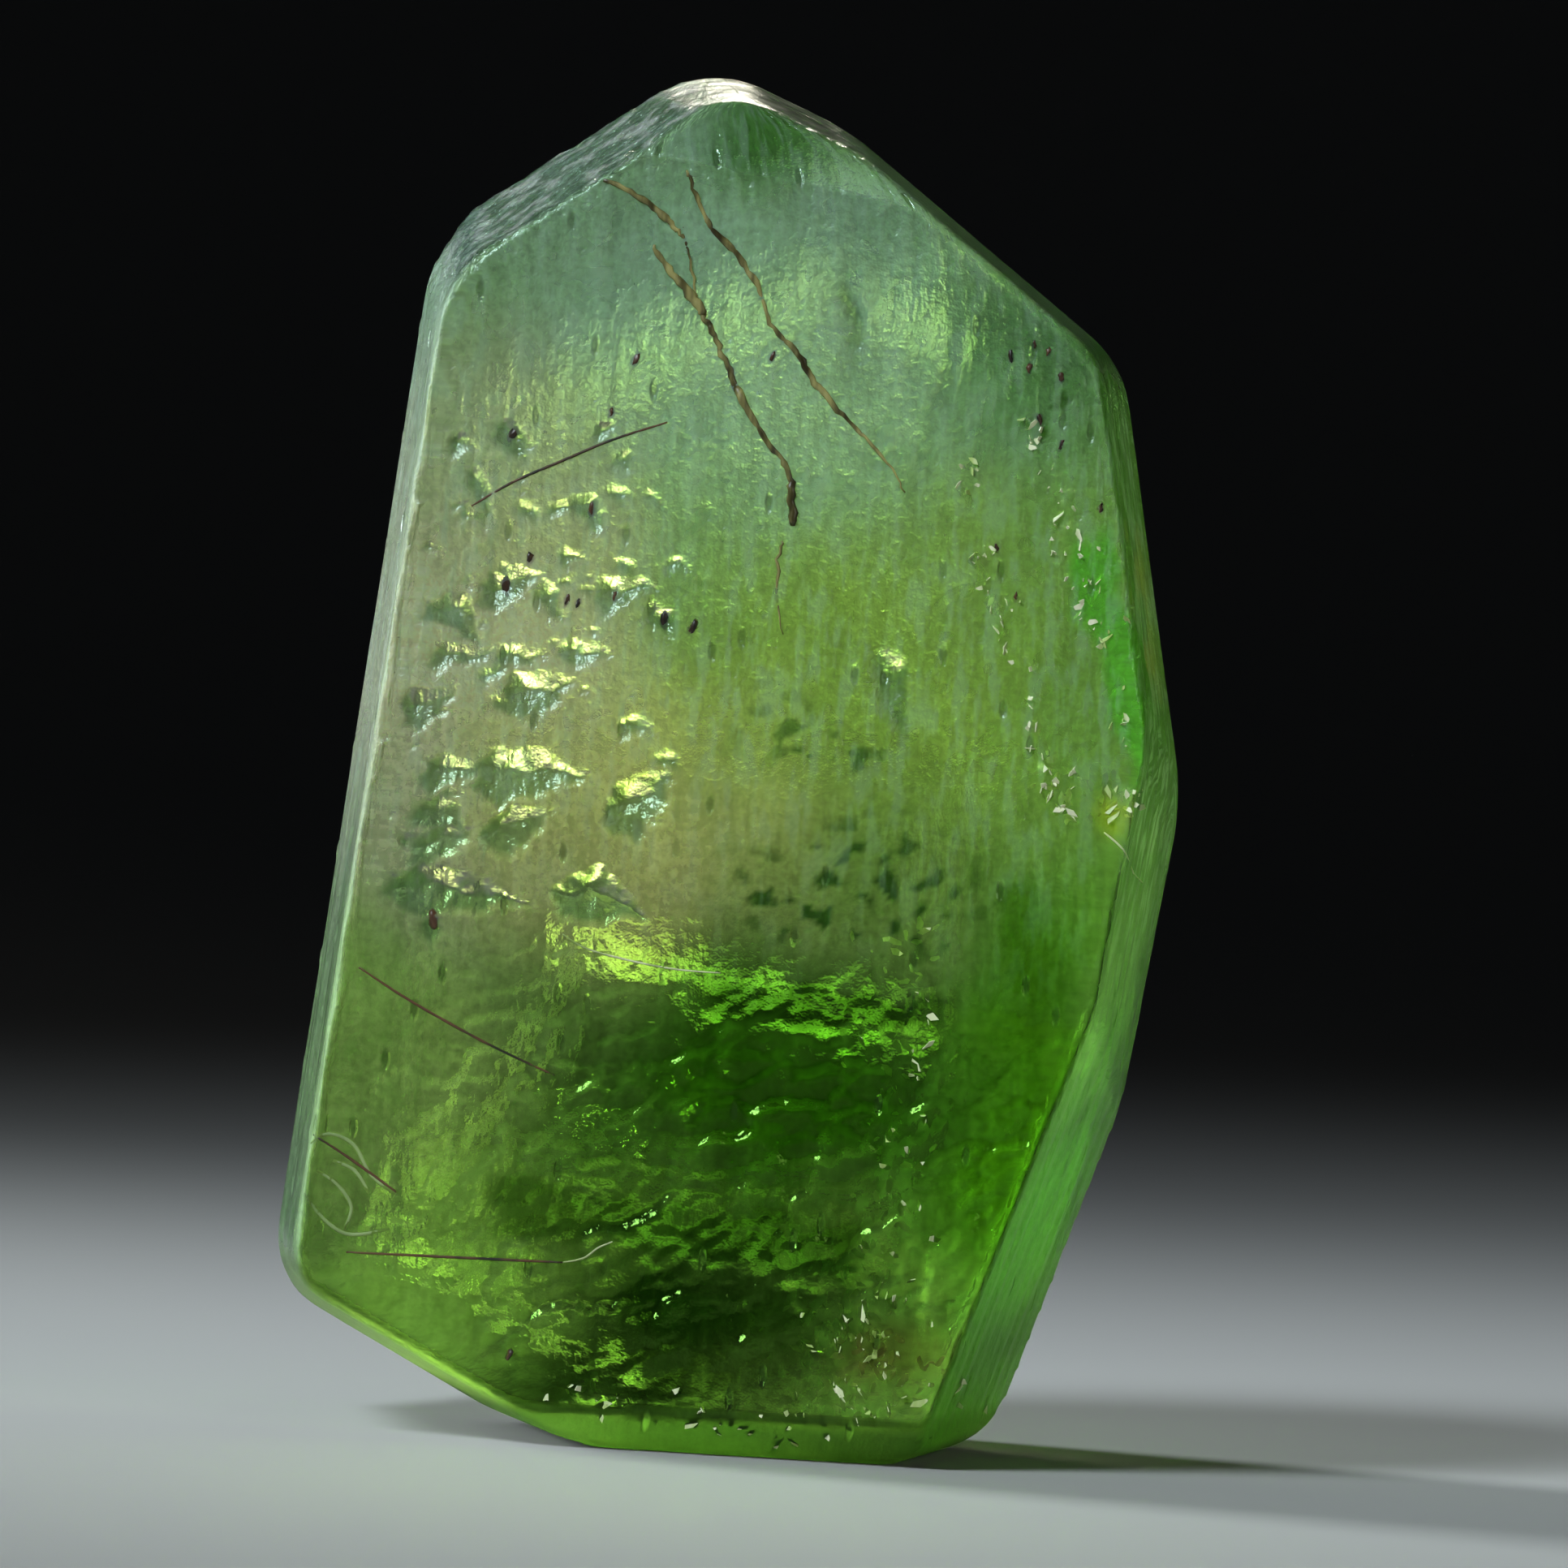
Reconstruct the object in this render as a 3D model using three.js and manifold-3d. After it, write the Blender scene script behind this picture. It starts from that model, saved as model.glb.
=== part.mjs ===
// A loose peridot crystal standing on its flat broken base. Millimetres, +Z up, front face towards -Y.
// The origin is on the base plane, under the middle of the crystal's box.
import * as THREE from "three";
import { ConvexGeometry } from "three/addons/geometries/ConvexGeometry.js";
import { mergeVertices } from "three/addons/utils/BufferGeometryUtils.js";
import Module from "manifold-3d";

const wasm = await Module();
wasm.setup();

// Driving dimensions
const middleHeight = 20; // the side faces' reach is measured from this height on the axis
const frontDepth = 8.7; // from the axis to the front face, at middle height
const backDepth = 8.2; // from the axis to the back face, at middle height
const edgeWear = 0.35; // radius of the worn edges
const arcStep = 13; // most degrees between two facets of a rounded corner
const cutReach = 30; // how far the cutting blocks stand out of the crystal

// The side faces in order round the crystal. turn is where a face looks, in degrees from +X towards +Z, and
// reach is its distance from the middle at its widest line, which lies at the depth middle. It closes in by
// front and back from there to the front and back face. round is the corner radius towards the next face.
const sideFaces = [
  { name: "rightUpper", turn: 11.3, reach: 13.3, middle: 1.6, front: 1.0, back: 5.6, round: 3.4 },
  { name: "rightDome", turn: 53.4, reach: 17.4, middle: 0.8, front: 0.6, back: 3.4, round: 8 },
  { name: "apexDome", turn: 67.9, reach: 19.5, middle: 0.4, front: 0.9, back: 2.6, round: 3.6 },
  { name: "leftDome", turn: 125.9, reach: 19.5, middle: -0.4, front: 1.7, back: 3.9, round: 4.6 },
  { name: "leftPrism", turn: 174.7, reach: 12.1, middle: 0.3, front: 0.8, back: 2.9, round: 2.6 },
  { name: "leftFoot", turn: 243, reach: 20.5, middle: 0.6, front: 0.9, back: 2.2, round: 7 },
  { name: "base", turn: 270, reach: middleHeight, middle: 0, front: 0, back: 0, round: 2.8 },
  { name: "rightFoot", turn: 342.2, reach: 14.45, middle: 0.9, front: 2.2, back: 6.4, round: 12 },
  { name: "rightMiddle", turn: 352.7, reach: 13.35, middle: 1.4, front: 1.7, back: 6.6, round: 9 },
];

// Single faces: the way each looks and one point on it.
const endFaces = [
  { name: "front", looks: [0.02, -1, 0.04], at: [0, -frontDepth, middleHeight] },
  { name: "back", looks: [0.03, 1, 0.055], at: [0, backDepth, middleHeight] },
  { name: "apexWindow", looks: [0.1, -0.78, 0.6], at: [1.5, -8.0, 38.0] },
  { name: "backWindow", looks: [-0.22, 0.8, 0.52], at: [-3, 7.1, 34.0] },
  { name: "frontFoot", looks: [0.03, -0.62, -0.78], at: [0, -9.4, 1.1] },
  { name: "backFoot", looks: [-0.2, 0.5, -0.83], at: [-3.0, 8.0, 1.4] },
];

// Etch pits: arrowheads with a steep blunt end and a long shallow point. The place is that of the deepest
// point, and turn is where the arrow aims, in degrees from the right towards the top of the face.
const frontPits = [
  { x: -7.0, z: 20.2, length: 2.5, width: 1.4, turn: -4 },
  { x: -9.2, z: 20.0, length: 1.8, width: 0.9, turn: 8 },
  { x: -9.1, z: 18.9, length: 1.2, width: 1.1, turn: -40 },
  { x: -7.1, z: 18.4, length: 1.8, width: 1.0, turn: 22 },
  { x: -9.4, z: 17.8, length: 1.7, width: 1.0, turn: 18 },
  { x: -9.2, z: 16.6, length: 3.0, width: 1.3, turn: -10 },
  { x: -4.4, z: 16.8, length: 1.9, width: 1.5, turn: -28 },
  { x: -6.7, z: 22.6, length: 1.6, width: 1.2, turn: 5 },
  { x: -10.0, z: 21.9, length: 1.5, width: 0.9, turn: 24 },
  { x: -9.0, z: 24.9, length: 1.3, width: 1.2, turn: -60 },
  { x: -7.8, z: 25.7, length: 1.4, width: 1.0, turn: 12 },
  { x: -4.4, z: 25.8, length: 1.4, width: 1.0, turn: 0 },
  { x: -6.1, z: 25.5, length: 1.3, width: 0.7, turn: -70 },
  { x: -9.1, z: 23.5, length: 1.8, width: 0.7, turn: 4 },
  { x: -7.3, z: 23.6, length: 1.4, width: 0.7, turn: 0 },
  { x: -5.4, z: 23.9, length: 1.3, width: 0.8, turn: -8 },
  { x: -3.5, z: 19.4, length: 1.8, width: 1.4, turn: 30 },
  { x: -5.2, z: 28.2, length: 0.8, width: 1.0, turn: -75 },
  { x: -8.5, z: 28.6, length: 1.4, width: 0.7, turn: -80 },
  { x: -7.6, z: 30.2, length: 1.1, width: 0.9, turn: -70 },
  { x: -2.7, z: 25.1, length: 1.0, width: 0.7, turn: -65 },
  { x: -9.0, z: 15.4, length: 0.9, width: 0.7, turn: -85 },
  { x: 4.3, z: 23.6, length: 2.2, width: 0.9, turn: -80 },
  { x: 2.3, z: 34.6, length: 2.6, width: 0.6, turn: -82 },
];
const pitSlope = 0.34; // a pit's depth over its width

// Growth striations: rows of long shallow grooves on the prism faces. across is the row's way from the first
// groove to the last, z their middle height, and lean their tilt from the face's up.
const grooveWidth = 0.55;
const grooveDepth = 0.11;
const striations = [
  { face: "leftPrismBack", across: "y", from: 1.6, to: 6.6, count: 6, z: 20, length: 17, lean: 0 },
  { face: "leftPrismFront", across: "y", from: -7.2, to: -1.6, count: 5, z: 19, length: 15, lean: 0 },
  { face: "rightUpperBack", across: "y", from: 3.4, to: 6.6, count: 4, z: 26, length: 9, lean: 5 },
  { face: "rightUpperFront", across: "y", from: -6.6, to: -0.8, count: 4, z: 27, length: 8, lean: 6 },
  { face: "rightFootBack", across: "y", from: 3.0, to: 6.4, count: 4, z: 9, length: 9, lean: -13 },
  { face: "rightFootFront", across: "y", from: -7.0, to: -1.0, count: 5, z: 9, length: 9, lean: 14 },
  { face: "back", across: "x", from: -8.4, to: 3.4, count: 8, z: 24, length: 11, lean: -2 },
  { face: "front", across: "x", from: 1.6, to: 8.4, count: 5, z: 26, length: 8, lean: 3 },
];

// Growth ledges on the back. Each is the outline, in x and z, of the part that stands in by one more step.
const ledgeStep = 0.7;
const secondLedgeHeight = 6.2;
const ledges = [
  [[-22, -6], [-22, 1.5], [-8.6, 7.9], [-5.1, 15.4], [-0.3, 14.2], [6.2, 13.5], [22, 12.6], [22, -6]],
  [[-22, -6], [-22, 0.5], [-8.8, 4.1], [-4.6, 7.5], [4.0, 6.0], [22, 4.6], [22, -6]],
];

// Scaly etching low on the back: shallow overlapping scallops in leaning rows, each longer than wide.
const scallops = {
  x: 0.4,
  z: 8.6,
  columns: 6,
  rows: 4,
  stepX: 2.2,
  stepZ: 2.1,
  lean: 28,
  radius: 2.2,
  stretch: 1.6,
  depth: 0.17,
};

// Conchoidal chips out of worn corners: balls that bite the edge.
const chips = [
  { x: 14.6, y: -6.4, z: 18.2, radius: 2.6 },
  { x: -13.0, y: 8.2, z: 7.0, radius: 2.7 },
  { x: 4.4, y: 7.4, z: 40.6, radius: 2.8 },
];

const radians = THREE.MathUtils.degToRad;
const lerp = THREE.MathUtils.lerp;

// The side faces together with the narrow facets that round each corner between two of them.
function roundedSides() {
  return sideFaces.flatMap((face, i) => {
    const next = sideFaces[(i + 1) % sideFaces.length];
    const sweep = (next.turn - face.turn + 360) % 360;
    const count = Math.ceil(sweep / arcStep);
    const [ax, az] = [Math.cos(radians(face.turn)), Math.sin(radians(face.turn))];
    const [bx, bz] = [Math.cos(radians(next.turn)), Math.sin(radians(next.turn))];
    const determinant = ax * bz - az * bx;
    const da = face.reach - face.round;
    const db = next.reach - face.round;
    const centreX = (da * bz - db * az) / determinant;
    const centreZ = (db * ax - da * bx) / determinant;
    const corner = Array.from({ length: count - 1 }, (_, k) => {
      const t = (k + 1) / count;
      const turn = face.turn + t * sweep;
      return {
        turn,
        reach: centreX * Math.cos(radians(turn)) + centreZ * Math.sin(radians(turn)) + face.round,
        middle: lerp(face.middle, next.middle, t),
        front: lerp(face.front, next.front, t),
        back: lerp(face.back, next.back, t),
      };
    });
    return [face, ...corner];
  });
}

function planeThrough(name, looks, at) {
  const normal = looks.clone().normalize();
  return { name, normal, distance: normal.dot(at) };
}

// Every flat face of the crystal as a plane: its outward normal and its distance from the origin.
function crystalPlanes() {
  const sides = roundedSides().flatMap(({ name, turn, reach, middle, front, back }) => {
    const out = new THREE.Vector3(Math.cos(radians(turn)), 0, Math.sin(radians(turn)));
    const at = out.clone().multiplyScalar(reach).add(new THREE.Vector3(0, middle, middleHeight));
    const frontTaper = new THREE.Vector3(0, -front / (frontDepth + middle), 0);
    const backTaper = new THREE.Vector3(0, back / (backDepth - middle), 0);
    return [
      planeThrough(`${name}Front`, out.clone().add(frontTaper), at),
      planeThrough(`${name}Back`, out.clone().add(backTaper), at),
    ];
  });
  const ends = endFaces.map(({ name, looks, at }) =>
    planeThrough(name, new THREE.Vector3(...looks), new THREE.Vector3(...at)),
  );
  return [...sides, ...ends];
}

// The point where three planes meet, or null if two of them are nearly parallel.
function meetingPoint(a, b, c) {
  const bc = b.normal.clone().cross(c.normal);
  const volume = a.normal.dot(bc);
  if (Math.abs(volume) < 1e-5) return null;
  const ca = c.normal.clone().cross(a.normal);
  const ab = a.normal.clone().cross(b.normal);
  return bc
    .multiplyScalar(a.distance)
    .addScaledVector(ca, b.distance)
    .addScaledVector(ab, c.distance)
    .divideScalar(volume);
}

// The corners of the convex solid that lies inside all the planes, each moved in by the edge radius.
function* innerCorners(planes) {
  const inner = planes.map((p) => ({ ...p, distance: p.distance - edgeWear }));
  for (let i = 0; i < inner.length; i++) {
    for (let j = i + 1; j < inner.length; j++) {
      for (let k = j + 1; k < inner.length; k++) {
        const point = meetingPoint(inner[i], inner[j], inner[k]);
        const inside = point && inner.every((p) => p.normal.dot(point) <= p.distance + 1e-6);
        if (inside) yield { point, normals: [inner[i].normal, inner[j].normal, inner[k].normal] };
      }
    }
  }
}

// The grown crystal: flat faces whose edges are worn round by a rolling ball of the edge radius.
function growthForm(planes) {
  const points = [];
  for (const { point, normals } of innerCorners(planes)) {
    const [a, b, c] = normals;
    const between = [
      [a, b],
      [b, c],
      [c, a],
      [a, b, c],
    ].map((set) => set.reduce((sum, n) => sum.add(n), new THREE.Vector3()).normalize());
    [...normals, ...between].forEach((n) => points.push(point.clone().addScaledVector(n, edgeWear)));
  }
  return new ConvexGeometry(points);
}

// Places a shape made in a face's own frame: X to the right, Y up the face, Z out of it.
function placeOn(plane, place, shape) {
  const at = new THREE.Vector3(place.x ?? 0, place.y ?? 0, place.z ?? 0);
  const missing = ["x", "y", "z"].find((axis) => place[axis] === undefined);
  at[missing] = (plane.distance - plane.normal.dot(at)) / plane.normal[missing];
  const up = new THREE.Vector3(0, 0, 1).addScaledVector(plane.normal, -plane.normal.z).normalize();
  const right = up.clone().cross(plane.normal);
  return shape.applyMatrix4(new THREE.Matrix4().makeBasis(right, up, plane.normal).setPosition(at));
}

// An arrowhead pit's cutter: it stands a little out of the face and comes to a deepest point under it.
function arrowCutter({ length, width, turn }) {
  const depth = pitSlope * width;
  const proud = 0.4;
  const flare = 1 + proud / depth;
  const rim = [
    [0.78, 0],
    [0.1, 0.5],
    [-0.16, 0.3],
    [-0.22, 0],
    [-0.16, -0.3],
    [0.1, -0.5],
  ];
  const points = rim.map(([a, b]) => new THREE.Vector3(a * length * flare, b * width * flare, proud));
  points.push(new THREE.Vector3(0, 0, -depth));
  points.push(new THREE.Vector3(0.14 * length, 0.05 * width, -0.8 * depth));
  return new ConvexGeometry(points).rotateZ(radians(turn));
}

// A long spindle that leaves a V groove with pointed ends.
function grooveCutter(length, lean) {
  const proud = 0.5;
  const flare = 1 + proud / grooveDepth;
  const halfWidth = (grooveWidth / 2) * flare;
  const points = [-1, 1].flatMap((end) => [
    new THREE.Vector3(0, end * (length / 2 + proud), proud),
    new THREE.Vector3(halfWidth, (end * length) / 4, proud),
    new THREE.Vector3(-halfWidth, (end * length) / 4, proud),
    new THREE.Vector3(0.06 * end, (end * length) / 4, -grooveDepth),
  ]);
  return new ConvexGeometry(points).rotateZ(radians(lean));
}

// One row of striations, uneven in length and height.
function* striationCutters(plane, { across, from, to, count, z, length, lean }) {
  for (let i = 0; i < count; i++) {
    const wander = Math.sin(2.7 * i + from);
    const place = { [across]: lerp(from, to, i / (count - 1)) + 0.2 * wander, z: z + 2.2 * wander };
    yield placeOn(plane, place, grooveCutter(length * (1 + 0.3 * Math.cos(4.1 * i)), lean));
  }
}

// A block over the back face with a ledge's outline. The back's own X runs the other way.
function ledgeCutter(outline, depth) {
  const shape = new THREE.Shape(outline.map(([x, z]) => new THREE.Vector2(-x, z)));
  return new THREE.ExtrudeGeometry(shape, { depth: cutReach, bevelEnabled: false }).translate(0, 0, -depth);
}

// The cutters of the scallops, each set to the ledge on which it lies.
function* scallopCutters(back) {
  const { x, z, columns, rows, stepX, stepZ, lean, radius, stretch, depth } = scallops;
  for (let row = 0; row < rows; row++) {
    for (let column = 0; column < columns; column++) {
      const wander = Math.sin(5.1 * row + 2.3 * column);
      const drift = Math.cos(3.7 * column + 1.9 * row);
      const place = {
        x: x + (column - (columns - 1) / 2 + (row % 2) / 2) * stepX + 0.6 * wander,
        z: z + (row - (rows - 1) / 2) * stepZ + 0.55 * drift,
      };
      const step = ledgeStep * (place.z < secondLedgeHeight ? 2 : 1);
      const ball = new THREE.IcosahedronGeometry(radius * (1 + 0.22 * drift), 4);
      ball.scale(stretch, 1, 1).rotateZ(radians(lean + 30 * wander));
      yield placeOn(back, place, ball.translate(0, 0, radius * (1 + 0.22 * drift) - step - depth));
    }
  }
}

function chipCutter({ x, y, z, radius }) {
  return new THREE.IcosahedronGeometry(radius, 5).translate(x, y, z);
}

function solidOf(geometry) {
  const bare = geometry.clone();
  bare.deleteAttribute("normal");
  bare.deleteAttribute("uv");
  const merged = mergeVertices(bare, 1e-4);
  return new wasm.Manifold(
    new wasm.Mesh({
      numProp: 3,
      vertProperties: merged.attributes.position.array,
      triVerts: new Uint32Array(merged.index.array),
    }),
  );
}

function geometryOf(solid) {
  const { vertProperties, triVerts } = solid.getMesh();
  const geometry = new THREE.BufferGeometry();
  geometry.setAttribute("position", new THREE.BufferAttribute(vertProperties, 3));
  geometry.setIndex(new THREE.BufferAttribute(triVerts, 1));
  const flat = geometry.toNonIndexed();
  flat.computeVertexNormals();
  return flat;
}

function wornCrystal() {
  const planes = crystalPlanes();
  const named = (name) => planes.find((p) => p.name === name);
  const [front, back] = [named("front"), named("back")];
  const cutters = [
    ...ledges.map((outline, i) => placeOn(back, { x: 0, z: 0 }, ledgeCutter(outline, ledgeStep * (i + 1)))),
    ...scallopCutters(back),
    ...frontPits.map((pit) => placeOn(front, { x: pit.x, z: pit.z }, arrowCutter(pit))),
    ...striations.flatMap((row) => [...striationCutters(named(row.face), row)]),
    ...chips.map(chipCutter),
  ];
  return cutters.reduce((left, cutter) => left.subtract(solidOf(cutter)), solidOf(growthForm(planes)));
}

const crystal = new THREE.Mesh(
  geometryOf(wornCrystal()),
  new THREE.MeshStandardMaterial({
    color: new THREE.Color(0.3, 0.5, 0.2),
    roughness: 0.25,
    metalness: 0,
    transparent: true,
    opacity: 0.75,
  }),
);
crystal.name = "crystal";

// The origin goes under the middle of the box.
crystal.geometry.computeBoundingBox();
const box = crystal.geometry.boundingBox;
crystal.position.set(-(box.min.x + box.max.x) / 2, -(box.min.y + box.max.y) / 2, -box.min.z);

const part = new THREE.Group();
part.add(crystal);

export default part;
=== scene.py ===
import math

import bmesh
import bpy
import numpy as np
from mathutils import Euler, Matrix, Vector, noise
from mathutils.bvhtree import BVHTree


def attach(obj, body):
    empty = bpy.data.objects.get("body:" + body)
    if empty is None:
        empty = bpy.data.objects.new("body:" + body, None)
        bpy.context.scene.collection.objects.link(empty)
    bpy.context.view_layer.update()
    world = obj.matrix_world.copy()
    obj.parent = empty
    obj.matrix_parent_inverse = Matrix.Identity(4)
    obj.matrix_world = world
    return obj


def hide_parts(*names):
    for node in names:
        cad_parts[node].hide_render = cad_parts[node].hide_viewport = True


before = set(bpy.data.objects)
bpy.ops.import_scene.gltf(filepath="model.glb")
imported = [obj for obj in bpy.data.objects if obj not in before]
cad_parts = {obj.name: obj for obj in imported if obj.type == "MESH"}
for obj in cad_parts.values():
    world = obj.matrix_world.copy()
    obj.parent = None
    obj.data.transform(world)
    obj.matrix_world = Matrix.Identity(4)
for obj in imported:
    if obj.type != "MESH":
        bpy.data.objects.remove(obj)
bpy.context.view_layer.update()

mm = 0.001
frameShift = (0.061, 0.184, 0.0)  # from the crystal's growth axis to the frame's origin, in mm
bodyName = "root"

# how the photograph lies on the crystal: it leans there by the camera's own lean
photo = {
    "side": 1932,  # in pixels, as the next three
    "footX": 915,
    "footY": 1772,
    "crystalPixels": 1686,
    "crystalHeight": 42,  # in mm
    "offset": 1.217,  # from the growth axis to the foot, in mm
    "lean": 3.7,  # in degrees
}
pixel = photo["crystalHeight"] / photo["crystalPixels"]  # in mm


def growthPoint(x, y, z):
    # a place measured from the growth axis, in mm, as a point of the frame in metres
    return Vector((x + frameShift[0], y + frameShift[1], z + frameShift[2])) * mm


def fromPhoto(px, py):
    # x and z in mm from the growth axis
    right, up = (px - photo["footX"]) * pixel, (photo["footY"] - py) * pixel
    lean = math.radians(photo["lean"])
    x = right * math.cos(lean) - up * math.sin(lean) + photo["offset"]
    return x, right * math.sin(lean) + up * math.cos(lean)


def addPiece(name, mesh, material):
    piece = bpy.data.objects.new(name, mesh)
    bpy.context.scene.collection.objects.link(piece)
    piece.data.materials.append(material)
    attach(piece, bodyName)
    return piece


def finishMesh(bm, name):
    bmesh.ops.recalc_face_normals(bm, faces=bm.faces)
    mesh = bpy.data.meshes.new(name)
    bm.to_mesh(mesh)
    bm.free()
    mesh.polygons.foreach_set("use_smooth", [True] * len(mesh.polygons))
    return mesh


def smoothStep(value, low, high):
    t = np.clip((value - low) / (high - low), 0, 1)
    return t * t * (3 - 2 * t)


# node helpers

def addNode(tree, kind, **settings):
    node = tree.nodes.new(kind)
    for key, value in settings.items():
        setattr(node, key, value)
    return node


def feed(tree, socket, value):
    # a link if value is a socket, else a plain number or colour
    if isinstance(value, bpy.types.NodeSocket):
        tree.links.new(value, socket)
    else:
        socket.default_value = value


def calculate(tree, operation, first, second):
    node = addNode(tree, "ShaderNodeMath", operation=operation)
    feed(tree, node.inputs[0], first)
    feed(tree, node.inputs[1], second)
    return node.outputs[0]


def mapRange(tree, value, low, high, toLow=0.0, toHigh=1.0):
    node = addNode(tree, "ShaderNodeMapRange", interpolation_type="SMOOTHSTEP")
    feed(tree, node.inputs["Value"], value)
    for key, number in (("From Min", low), ("From Max", high), ("To Min", toLow), ("To Max", toHigh)):
        node.inputs[key].default_value = number
    return node.outputs["Result"]


def mixColour(tree, factor, first, second):
    node = addNode(tree, "ShaderNodeMix", data_type="RGBA")
    feed(tree, node.inputs["Factor"], factor)
    feed(tree, node.inputs[6], first)  # the colour sockets A and B
    feed(tree, node.inputs[7], second)
    return node.outputs[2]


def stretched(tree, point, stretch, lean):
    # a flat pattern drawn out along its second axis, and leaning by some degrees
    node = addNode(tree, "ShaderNodeMapping")
    feed(tree, node.inputs["Vector"], point)
    node.inputs["Scale"].default_value = (1, stretch, 1)
    node.inputs["Rotation"].default_value = (0, 0, math.radians(lean))
    return node.outputs["Vector"]


def noiseOf(tree, point, scale, detail, roughness):
    node = addNode(tree, "ShaderNodeTexNoise", noise_dimensions="2D")
    feed(tree, node.inputs["Vector"], point)
    node.inputs["Scale"].default_value = scale
    node.inputs["Detail"].default_value = detail
    node.inputs["Roughness"].default_value = roughness
    return node.outputs["Fac"]


def attributeOf(tree, name, output="Fac"):
    return addNode(tree, "ShaderNodeAttribute", attribute_name=name).outputs[output]


def brighten(tree, colour, amount):
    # a colour made lighter or darker by a value that changes over the surface
    node = addNode(tree, "ShaderNodeVectorMath", operation="SCALE")
    feed(tree, node.inputs[0], colour)
    feed(tree, node.inputs["Scale"], amount)
    return node.outputs[0]


def newMaterial(name):
    material = bpy.data.materials.new(name)
    material.use_nodes = True
    tree = material.node_tree
    tree.nodes.clear()
    out = addNode(tree, "ShaderNodeOutputMaterial")
    shader = addNode(tree, "ShaderNodeBsdfPrincipled")
    tree.links.new(shader.outputs["BSDF"], out.inputs["Surface"])
    return material, tree, shader, out


def makeMottle():
    # a two-tone mottle that all the inclusions' materials share
    group = bpy.data.node_groups.new("mottle", "ShaderNodeTree")
    for name, way, kind in (
        ("Scale", "INPUT", "NodeSocketFloat"),
        ("Dark", "INPUT", "NodeSocketColor"),
        ("Light", "INPUT", "NodeSocketColor"),
        ("Colour", "OUTPUT", "NodeSocketColor"),
        ("Mask", "OUTPUT", "NodeSocketFloat"),
    ):
        group.interface.new_socket(name, in_out=way, socket_type=kind)
    given = addNode(group, "NodeGroupInput").outputs
    made = addNode(group, "NodeGroupOutput").inputs
    point = addNode(group, "ShaderNodeTexCoord").outputs["Object"]
    spots = noiseOf(group, point, 1.0, 3.0, 0.6)
    group.links.new(given["Scale"], spots.node.inputs["Scale"])
    mask = mapRange(group, spots, 0.35, 0.65)
    feed(group, made["Mask"], mask)
    feed(group, made["Colour"], mixColour(group, mask, given["Dark"], given["Light"]))
    return group


def mottledMaterial(name, look):
    material, tree, shader, _ = newMaterial(name)
    tones = addNode(tree, "ShaderNodeGroup", node_tree=mottle)
    tones.inputs["Scale"].default_value = look["scale"]
    tones.inputs["Dark"].default_value = (*look["dark"], 1)
    tones.inputs["Light"].default_value = (*look["light"], 1)
    feed(tree, shader.inputs["Base Color"], tones.outputs["Colour"])
    rough = look["roughness"]
    if isinstance(rough, tuple):  # that of the dark and that of the light parts
        rough = mapRange(tree, tones.outputs["Mask"], 0, 1, *rough)
    feed(tree, shader.inputs["Roughness"], rough)
    return material


# the crystal's fine skin; all its places are in mm from the growth axis

skin = {
    "voxel": 0.30,  # in mm
    "smoothing": 6,  # rounds
    "backDepth": 8.2,  # to the back face at middleHeight
    "middleHeight": 20,
    "backTilt": (-0.03, -0.055),  # of the back face, per mm of x and of z
    "pitZone": (-11.6, -2.0, 14.6, 31.4),  # x and z of the finely etched part of the front
    "flatBase": 0.06,  # what lies lower than this is laid flat
}

pits = {
    "slope": 0.29,  # depth for each mm of width
    "floor": 0.93,  # the share of its depth at which a pit's floor is flat
    "growth": 1.35,  # how much larger than its length and width a pit's rim is drawn
    # the rim's corners round the deepest place, for a pit 1 long and 1 wide
    "rim": [
        (0.86, 0.06), (0.22, 0.42), (-0.12, 0.34), (-0.34, 0.0), (-0.38, -0.45), (-0.1, -0.75), (0.3, -0.40),
    ],
    # x, z of the deepest place, length, width, and where the arrow aims in degrees
    "arrows": [
        (-7.0, 20.2, 2.5, 1.4, -4), (-9.2, 20.0, 1.8, 0.9, 8), (-9.1, 18.9, 1.2, 1.1, -40),
        (-7.1, 18.4, 1.8, 1.0, 22), (-9.4, 17.8, 1.7, 1.0, 18), (-9.2, 16.6, 3.0, 1.3, -10),
        (-4.4, 16.8, 1.9, 1.5, -28), (-6.7, 22.6, 1.6, 1.2, 5), (-10.0, 21.9, 1.5, 0.9, 24),
        (-9.0, 24.9, 1.3, 1.2, -60), (-7.8, 25.7, 1.4, 1.0, 12), (-4.4, 25.8, 1.4, 1.0, 0),
        (-6.1, 25.5, 1.3, 0.7, -70), (-9.1, 23.5, 1.8, 0.7, 4), (-7.3, 23.6, 1.4, 0.7, 0),
        (-5.4, 23.9, 1.3, 0.8, -8), (-3.5, 19.4, 1.8, 1.4, 30), (-5.2, 28.2, 0.8, 1.0, -75),
        (-8.5, 28.6, 1.4, 0.7, -80), (-7.6, 30.2, 1.1, 0.9, -70), (-2.7, 25.1, 1.0, 0.7, -65),
        (-9.0, 15.4, 0.9, 0.7, -85), (4.3, 23.6, 2.2, 0.9, -80), (2.3, 34.6, 2.6, 0.6, -82),
    ],
}

smallPits = {
    "seed": 21,
    "count": 50,
    "across": (-6.6, 3.2),  # middle and stray of x
    "up": (23.5, 5.0),  # and of z
    "within": (-11.3, -1.5, 15.0, 31.0),  # least and most x, least and most z
    "width": (0.25, 0.62),
    "longer": (1.0, 1.6),
    "turn": (-20, 35),  # middle and stray, in degrees
}

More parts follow.
